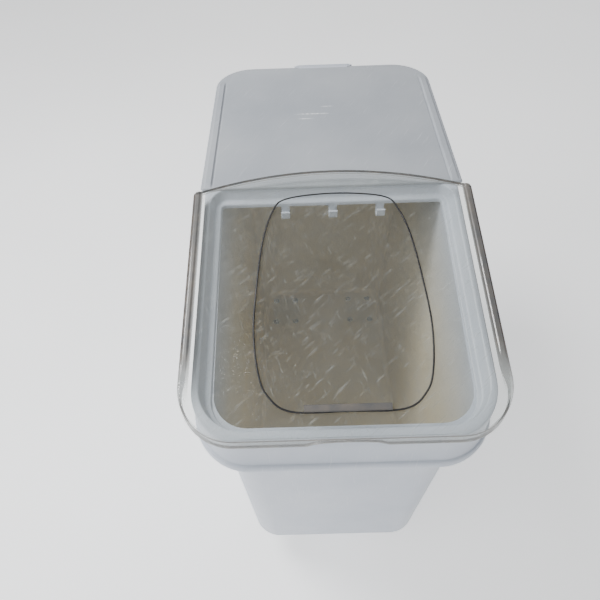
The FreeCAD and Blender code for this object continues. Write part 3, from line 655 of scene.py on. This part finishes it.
class BIN_OT_opening(bpy.types.Operator):
    """Build the stepped rim round the front opening, and the three scoop hooks on its rear bar"""
    bl_idname = "food_bin.opening"
    bl_label = "Opening rim"

    hook_pitch = 0.072
    hook_centre = 0.002
    hook_bend = 0.0075
    hook_wide = 0.013
    hook_thick = 0.0036

    def execute(self, context):
        rings = [self.ring(inset, above) for inset, above in self.profile()]
        count = len(rings[0])
        points = np.concatenate(rings)
        index = [np.arange(count) + (i % len(rings)) * count for i in range(len(rings) + 1)]
        faces = [strip(a, b, count) for a, b in zip(index[:-1], index[1:])]
        piece = new_object("opening_rim", points, faces, [finish("white_polyethylene")])
        make_normals_outward(piece)
        sharpen(piece)
        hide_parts("hook_bar")
        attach(piece, "tub")
        for number, side in enumerate((-1, 0, 1), start=1):
            self.hook(f"scoop_hook_{number}", side * self.hook_pitch + self.hook_centre)
        return {"FINISHED"}

    @staticmethod
    def profile():
        """Inset from the land's inner edge and height above the rim, once round the section."""
        steps = [(-0.0035, 0.0), (-0.0031, 0.0002)]
        steps += [(0.003 * s, 0.0002 - 0.003 * (1 - c)) for s, c in arc_steps(5)]
        steps += [(0.0078, -0.0105)]
        steps += [(0.0078 + 0.004 * (1 - c), -0.0105 - 0.0035 * s) for s, c in arc_steps(4)][1:]
        steps += [(0.0150, -0.0142)]
        steps += [(0.0150 + 0.002 * s, -0.0142 - 0.002 * (1 - c)) for s, c in arc_steps(4)][1:]
        steps += [(0.0170, -0.0200), (0.0150, -0.0215), (-0.0030, -0.0170), (-0.0035, -0.0160)]
        return steps

    @staticmethod
    def ring(inset, above):
        """A ring round the front opening with round corners, on the sloping rim.

        The step is narrower at the front than at the sides. Its outermost rings have square
        rear corners, so that the land runs on to the collar under the rear lid."""
        front = -0.3555 + inset * (0.35 if inset > 0 else 2.6)
        half, rear = 0.183 - inset, FOLD + 0.004 - inset
        low = max(0.060 - inset, 0.01)
        high = 0.003 if inset < -0.002 else max(0.028 - 1.25 * inset, 0.006)
        arc, side, across = 14, 30, 30
        turn = np.linspace(0, 0.5 * np.pi, arc, endpoint=False)
        run = np.linspace(0, 1, side, endpoint=False)
        wide = np.linspace(0, 1, across, endpoint=False)
        x = [-(half - low) + 2 * (half - low) * wide, half - low + low * np.sin(turn),
             np.full(side, half), half - high + high * np.cos(turn),
             (half - high) * (1 - 2 * wide), -(half - high) - high * np.sin(turn),
             np.full(side, -half), -half + low - low * np.cos(turn)]
        y = [np.full(across, front), front + low - low * np.cos(turn),
             (front + low) + (rear - high - front - low) * run, rear - high + high * np.sin(turn),
             np.full(across, rear), rear - high + high * np.cos(turn),
             (rear - high) + (front + low - rear + high) * run, front + low - low * np.sin(turn)]
        x, y = np.concatenate(x), np.concatenate(y)
        return np.stack([x, y, rim_z(y) + above], axis=1)

    def hook(self, name, x):
        """A moulded hook: a flat strap that drops from the bar, turns forward and up.

        Its path is a straight drop, a half circle in the upright plane, and a short rise."""
        root = FOLD - 0.010
        top = RIM - 0.0185
        bend = self.hook_bend
        turns = np.linspace(0, math.pi, 13)
        path = [(x, root, top + 0.002), (x, root, top - 0.010)]
        path += [(x, root - bend + bend * math.cos(t), top - 0.013 - bend * math.sin(t))
                 for t in turns]
        path += [(x, root - 2 * bend, top - 0.006)]
        strap = rounded_profile(self.hook_thick, self.hook_wide, 0.0012)
        piece = swept(name, path, strap, [finish("white_polyethylene")], up=(1, 0, 0))
        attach(piece, "tub")


class BIN_OT_rear_lid(bpy.types.Operator):
    """Build the rear lid: plate with a recessed panel between side rails, skirt and lift tab"""
    bl_idname = "food_bin.rear_lid"
    bl_label = "Rear lid"

    half = 0.197
    corner = 0.066
    edge = 0.003
    rail = 0.002
    skirt = 0.0035
    drop = 0.014
    pin_side = 0.162

    def plan(self, inset):
        """Grid of plan points that fills the lid's outline, taken in by inset.

        Rows run straight from the fold to the corners and then by the sine of an angle, and
        each row's width follows the corner circle."""
        front, rear = FOLD + inset, LID_BOX[1][1] - 0.004 - inset
        corner = self.corner - inset
        turns = np.linspace(0, 0.5 * np.pi, 22)[1:]
        straight = np.linspace(front, rear - corner, 60)
        y = np.concatenate([straight, rear - corner + corner * np.sin(turns)])
        width = np.concatenate([np.full(60, self.half - inset),
                                self.half - inset - corner + corner * np.cos(turns)])
        near_rail = np.linspace(0.88, 1.0, 44)
        u = np.concatenate([-near_rail[::-1], np.linspace(-0.88, 0.88, 60)[1:-1], near_rail])
        return u[None, :] * width[:, None], np.broadcast_to(y[:, None], (len(y), len(u)))

    def execute(self, context):
        top_z = LID_BOX[1][2] - self.rail
        x, y = self.plan(self.edge)
        along = smooth(0.006, 0.014, y) * (1 - smooth(0.306, 0.322, y))
        rail = smooth(0.1800, 0.1822, np.abs(x)) * (1 - smooth(0.1895, 0.1935, np.abs(x))) * along
        groove = np.exp(-((np.abs(x) - 0.1790) / 0.0010) ** 2) * along
        sag = 0.0012 * (1 - (x / self.half) ** 2) * np.sin(np.pi * np.clip((y - FOLD) / 0.37, 0, 1))
        top = np.stack([x, y, top_z + self.rail * rail - 0.0007 * groove - sag], axis=-1)
        inner = self.plan(self.skirt)
        under = np.stack([*inner, np.full_like(inner[0], RIM + 0.0003)], axis=-1)
        edge = boundary(*x.shape)
        loop = top.reshape(-1, 3)[edge]
        out = outward(loop[:, :2])
        depth = np.where(loop[:, 1] < FOLD + 0.012, 0.0045, self.drop + 0.0045)
        rings = []
        for s, c in arc_steps(5)[1:]:
            ring = loop.copy()
            ring[:, :2] += out * self.edge * s
            ring[:, 2] -= self.edge * (1 - c)
            rings.append(ring)
        foot = rings[-1].copy()
        foot[:, 2] = top_z - depth + 0.0004
        rings.append(foot)
        lip = foot.copy()
        lip[:, :2] -= out * 0.0008
        lip[:, 2] -= 0.0006
        rings.append(lip)
        base = under.reshape(-1, 3)[edge].copy()
        base[:, 2] = np.minimum(top_z - depth - 0.0002, RIM + 0.0002)
        rings.append(base)
        piece = tray("rear_lid_shell", top, under, rings, [finish("white_lid")])
        make_normals_outward(piece)
        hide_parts("rear_lid")
        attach(piece, "rear_cover")
        rear = LID_BOX[1][1] - 0.004
        path = [(x, rear + 0.001 - setback, top_z - 0.0020)
                for x, setback in ((-0.046, 0.002), (-0.044, 0), (0.052, 0), (0.054, 0.002))]
        tab = swept("lift_tab", path, rounded_profile(0.015, 0.0040, 0.0016),
                    [finish("white_polyethylene")])
        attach(tab, "rear_cover")
        for side in (-1, 1):
            self.pin(side * self.pin_side, top_z)
        return {"FINISHED"}

    @staticmethod
    def pin(x, top):
        """A small dark snap pin with a domed head in the lid's front edge, in the material of the window line."""
        turns = np.linspace(0, 2 * np.pi, 25)[:-1]
        levels = [(0.0027, -0.002)] + [(0.0027 * c, 0.0008 * s) for s, c in arc_steps(5)[:-1]]
        levels.append((0.0002, 0.0008))
        rings = [np.stack([x + r * np.cos(turns), FOLD + 0.0045 + r * np.sin(turns),
                           np.full(24, top + z)], axis=1) for r, z in levels]
        piece = rings_to_mesh("snap_pin", rings, [finish("polycarbonate_step")],
                              np.zeros(len(rings)))
        make_normals_outward(piece)
        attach(piece, "rear_cover")


class BIN_OT_clear_lid(bpy.types.Operator):
    """Build the clear lid: plate, side flanges, front skirt with notch, step and grip bar"""
    bl_idname = "food_bin.clear_lid"
    bl_label = "Clear lid"

    half = 0.203
    corner = 0.070
    edge = 0.003
    bow = 0.036
    flange = 0.012

    def plan(self, inset):
        """Grid of plan points that fills the lid's outline, taken in by inset.

        Rows run round the front corner circle by its angle and then straight to the rear edge,
        which bows back by a parabola across the width."""
        front = CLEAR_BOX[0][1] + inset
        corner = self.corner - inset
        turns = np.linspace(0, 0.5 * np.pi, 26)
        near = np.linspace(0.925, 1.0, 26)
        u = np.concatenate([-near[::-1], np.linspace(-0.925, 0.925, 64)[1:-1], near])
        rows = np.concatenate([np.linspace(0, 0.97, 80)[1:], np.linspace(0.97, 1, 27)[1:]])
        width = np.concatenate([self.half - inset - corner + corner * np.sin(turns),
                                np.full(len(rows), self.half - inset)])
        x = u[None, :] * width[:, None]
        rear = self.rear(x[-1]) - inset
        y_corner = np.broadcast_to((front + corner - corner * np.cos(turns))[:, None],
                                   (len(turns), len(u)))
        start = front + corner
        y_main = start + (rear - start)[None, :] * rows[:, None]
        return x, np.concatenate([y_corner, y_main])

    def rear(self, x):
        return CLEAR_BOX[1][1] - self.bow * (x / self.half) ** 2

    def relief(self, x, y):
        """Height of the moulded features above the plate: rear lip and gate mark."""
        behind = y - self.rear(x)
        lip = smooth(-0.0062, -0.0048, behind) * (1 - smooth(-0.0022, -0.0008, behind))
        gate = np.exp(-((x ** 2 + (y + 0.169) ** 2) / 0.0035 ** 2) ** 2)
        rim = smooth(0.192, 0.1945, np.abs(x)) * (1 - smooth(0.1985, 0.2, np.abs(x)))
        return 0.0015 * lip + 0.0006 * gate + 0.0012 * rim * smooth(-0.29, -0.27, y)

    def execute(self, context):
        shape = context.scene.bin_shape
        low, high = shape.raise_by, shape.raise_by + shape.plate
        x, y = self.plan(self.edge)
        top = np.stack([x, y, slope_z(y) + high + self.relief(x, y)], axis=-1)
        inner = self.plan(shape.plate)
        under = np.stack([*inner, slope_z(inner[1]) + low], axis=-1)
        edge = boundary(*x.shape)
        loop = top.reshape(-1, 3)[edge]
        out = outward(loop[:, :2])
        rings = []
        for s, c in arc_steps(6)[1:]:
            ring = loop.copy()
            ring[:, :2] += out * self.edge * s
            ring[:, 2] = slope_z(ring[:, 1]) + high - self.edge * (1 - c)
            rings.append(ring)
        outer = rings[-1]
        foot = self.foot(outer, low)
        start = high - self.edge
        fine = 0.0022
        for above in (np.maximum(start - fine, foot), np.clip(foot + fine, foot, start), foot):
            ring = outer.copy()
            ring[:, 2] = slope_z(ring[:, 1]) + above
            rings.append(ring)
        for above in (foot, np.minimum(foot + fine, low - 0.0001)):
            ring = under.reshape(-1, 3)[edge].copy()
            ring[:, 2] = slope_z(ring[:, 1]) + np.minimum(above, low - 0.0001)
            rings.append(ring)
        # painted shade of each edge ring at the front and rear: dark lines where the clear edge is seen edge on
        lines = (0, 0, 0.3, 0.95, 0.95, 0.10, 0.10, 0.95, 0.95, 0.10)
        tints = [self.tint(x, y, lip=True), self.tint(*inner)]
        tints += [self.edge_tint(ring, line) for ring, line in zip(rings, lines)]
        piece = tray("clear_lid_shell", top, under, rings, [finish("clear_polycarbonate")], tints)
        make_normals_outward(piece)
        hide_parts("clear_lid")
        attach(piece, "front_cover")
        self.step_line(high)
        self.grip(high)
        return {"FINISHED"}

    def foot(self, outer, low):
        """Height above the rim plane where the lid's edge wall ends, at each edge point.

        Side flanges hang below the rim, the front skirt stands just above it, with an arched
        notch, and the rear edge has no wall."""
        x, y = outer[:, 0], outer[:, 1]
        side = smooth(0.2015, 0.2028, np.abs(x)) * smooth(-0.315, -0.275, y)
        side *= 1 - smooth(-0.012, 0.0, y - self.rear(x))
        skirt = 0.0005 - (self.flange + 0.0005) * side
        arch = np.clip(1 - (x / 0.046) ** 2, 0, 1) ** 0.5 * 0.0085 * (y < -0.36)
        at_rear = smooth(-0.010, -0.002, y - self.rear(x)) * (np.abs(x) < 0.2029)
        return np.where(y - self.rear(x) > -0.0005, low - 0.0001,
                        skirt + arch) * (1 - at_rear) + at_rear * (low - 0.0001)

    def tint(self, x, y, lip=False):
        """How much painted shade the plate gets: full along the side rails, and a thin painted dark line along the
        rear lip.
        """
        behind = y - self.rear(x)
        side = smooth(0.1890, 0.1908, np.abs(x)) * smooth(-0.345, -0.25, y)
        side *= (0.86 + 0.14 * smooth(0.1985, 0.2010, np.abs(x))) * (1 - smooth(-0.004, 0.0, behind))
        line = 0.8 * np.exp(-((behind + 0.0085) / 0.0011) ** 2) if lip else 0
        return np.maximum(side, line)

    def edge_tint(self, ring, line):
        """How much painted shade a ring of the edge gets, where line is its value at the front and rear."""
        x, y = ring[:, 0], ring[:, 1]
        at_end = np.maximum(smooth(-0.20, -0.30, y), y - self.rear(x) > -0.004)
        return np.maximum(self.tint(x, y), line * at_end)

    def step_line(self, high):
        """Fine bead round the window: a closed curve through nine places on each side."""
        half = ((0.067, -0.3425), (0.095, -0.323), (0.107, -0.293), (0.113, -0.240),
                (0.111, -0.184), (0.103, -0.106), (0.090, -0.057), (0.070, -0.0335))
        corners = [(0.0, -0.3435)] + list(half) + [(0.0, -0.0255)]
        corners += [(-x, y) for x, y in reversed(half)]
        plan = smooth_loop(corners)
        path = np.stack([plan[:, 0] + 0.002, plan[:, 1], slope_z(plan[:, 1]) + high], axis=1)
        # its material paints the step dark grey, the shade that refraction gives a clear step
        piece = swept("window_step", path, rounded_profile(0.0025, 0.0014, 0.0007),
                      [finish("polycarbonate_step")], closed=True)
        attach(piece, "front_cover")

    def grip(self, high):
        """Finger bar along the front of the window: a rounded bar on a straight path."""
        y = -0.3400
        ends = np.linspace(-0.050, 0.054, 24)
        path = np.stack([ends, np.full(24, y), np.full(24, slope_z(y) + high + 0.0012)], axis=1)
        up = (0, -math.sin(SLOPE), math.cos(SLOPE))
        # tints=0.88 gives the clear bar painted shade: dark grey for the darkening that its steep clear walls give
        piece = swept("grip_bar", path, rounded_profile(0.009, 0.0034, 0.0014),
                      [finish("clear_polycarbonate")], up=up, tints=0.88)
        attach(piece, "front_cover")


class BIN_OT_casters(bpy.types.Operator):
    """Give every caster piece its finish"""
    bl_idname = "food_bin.casters"
    bl_label = "Caster finishes"

    def execute(self, context):
        slots = {entry["node"]: entry["material_slot"] for entry in frame["record"]["subparts"]}
        for name, piece in frame["nodes"].items():
            piece.data.materials.clear()
            piece.data.materials.append(finish(slots[name]))
        return {"FINISHED"}


class BIN_OT_stage(bpy.types.Operator):
    """Set the floor, the soft lights and the camera"""
    bl_idname = "food_bin.stage"
    bl_label = "Stage"

    def execute(self, context):
        look = context.scene.stage_look
        self.floor(look)
        self.lights(look)
        self.camera(look)
        return {"FINISHED"}

    @staticmethod
    def floor(look):
        reach = 6.0
        corners = np.array([(-reach, -reach, 0), (reach, -reach, 0), (reach, reach, 0),
                            (-reach, reach, 0)], dtype=float)
        material, tree, place, output = new_finish("studio_floor")
        cloud = blotches(tree, place, 0.8, 0, 1)
        base = add(tree, MIX, {6: linear(look.floor_colour), 7: linear("#eeeff0")}, {0: cloud})
        add_surface(tree, output, {"Roughness": 0.7, "Emission Color": linear("#ffffff"),
                                   "Emission Strength": 0.85}, {"Base Color": base})
        piece = new_object("floor", corners, [np.array([[0, 1, 2, 3]])], [material])

    @staticmethod
    def lights(look):
        world = bpy.data.worlds.new("studio")
        world.use_nodes = True
        sky = world.node_tree.nodes["Background"]
        sky.inputs["Color"].default_value = linear("#eef1f5")
        sky.inputs["Strength"].default_value = 0.36
        bpy.context.scene.world = world
        lamps = (("key", (-1.7, -1.3, 1.9), look.key_power, 2.0),
                 ("top", (-1.15, 0.25, 2.4), 52.0, 0.9), ("fill", (1.9, -0.4, 1.4), 2.0, 1.6))
        for name, place, power, size in lamps:
            lamp = bpy.data.lights.new(name, "AREA")
            lamp.energy = power
            lamp.size = size
            piece = bpy.data.objects.new(name, lamp)
            bpy.context.scene.collection.objects.link(piece)
            aim = np.array([0.0, 0.0, 0.5]) - np.array(place)
            piece.matrix_world = look_along(place, aim)

    @staticmethod
    def camera(look):
        lens = bpy.data.cameras.new("camera")
        lens.sensor_width = 36.0
        lens.lens = look.lens
        lens.clip_start = 0.01
        piece = bpy.data.objects.new("camera", lens)
        bpy.context.scene.collection.objects.link(piece)
        cy, sy = math.cos(look.yaw), math.sin(look.yaw)
        cp, sp = math.cos(look.pitch), math.sin(look.pitch)
        ahead = np.array([sy * cp, cy * cp, -sp])
        right = np.array([cy, -sy, 0.0])
        down = np.cross(ahead, right)
        cr, sr = math.cos(look.roll), math.sin(look.roll)
        right, down = cr * right + sr * down, -sr * right + cr * down
        turn = Matrix.Identity(4)
        for row in range(3):
            turn[row][0], turn[row][1], turn[row][2] = right[row], -down[row], -ahead[row]
            turn[row][3] = look.eye[row]
        piece.matrix_world = turn
        bpy.context.scene.camera = piece


def look_along(place, aim):
    """A matrix at a place whose -Z axis points along aim."""
    back = -np.asarray(aim) / np.linalg.norm(aim)
    side = np.cross((0, 0, 1), back)
    side /= np.linalg.norm(side)
    over = np.cross(back, side)
    turn = Matrix.Identity(4)
    for row in range(3):
        turn[row][0], turn[row][1], turn[row][2] = side[row], over[row], back[row]
        turn[row][3] = place[row]
    return turn


class BIN_PT_panel(bpy.types.Panel):
    """Sidebar panel that lists the bin's pieces"""
    bl_label = "Slant-top bin"
    bl_idname = "BIN_PT_panel"
    bl_space_type = "VIEW_3D"
    bl_region_type = "UI"
    bl_category = "Bin"

    def draw(self, context):
        column = self.layout.column()
        for operator in OPERATORS:
            column.operator(operator.bl_idname)
        for group in (context.scene.bin_shape, context.scene.stage_look):
            for name in group.bl_rna.properties.keys():
                if name not in ("name", "rna_type"):
                    column.prop(group, name)


OPERATORS = (BIN_OT_casters, BIN_OT_tub, BIN_OT_opening, BIN_OT_rear_lid, BIN_OT_clear_lid,
             BIN_OT_stage)
CLASSES = (BinShape, StageLook) + OPERATORS + (BIN_PT_panel,)


def register():
    for entry in CLASSES:
        bpy.utils.register_class(entry)
    bpy.types.Scene.bin_shape = PointerProperty(type=BinShape)
    bpy.types.Scene.stage_look = PointerProperty(type=StageLook)


def unregister():
    del bpy.types.Scene.stage_look
    del bpy.types.Scene.bin_shape
    for entry in reversed(CLASSES):
        bpy.utils.unregister_class(entry)


def main():
    register()
    for operator in OPERATORS:
        group, name = operator.bl_idname.split(".")
        getattr(getattr(bpy.ops, group), name)()


if __name__ == "__main__":
    main()
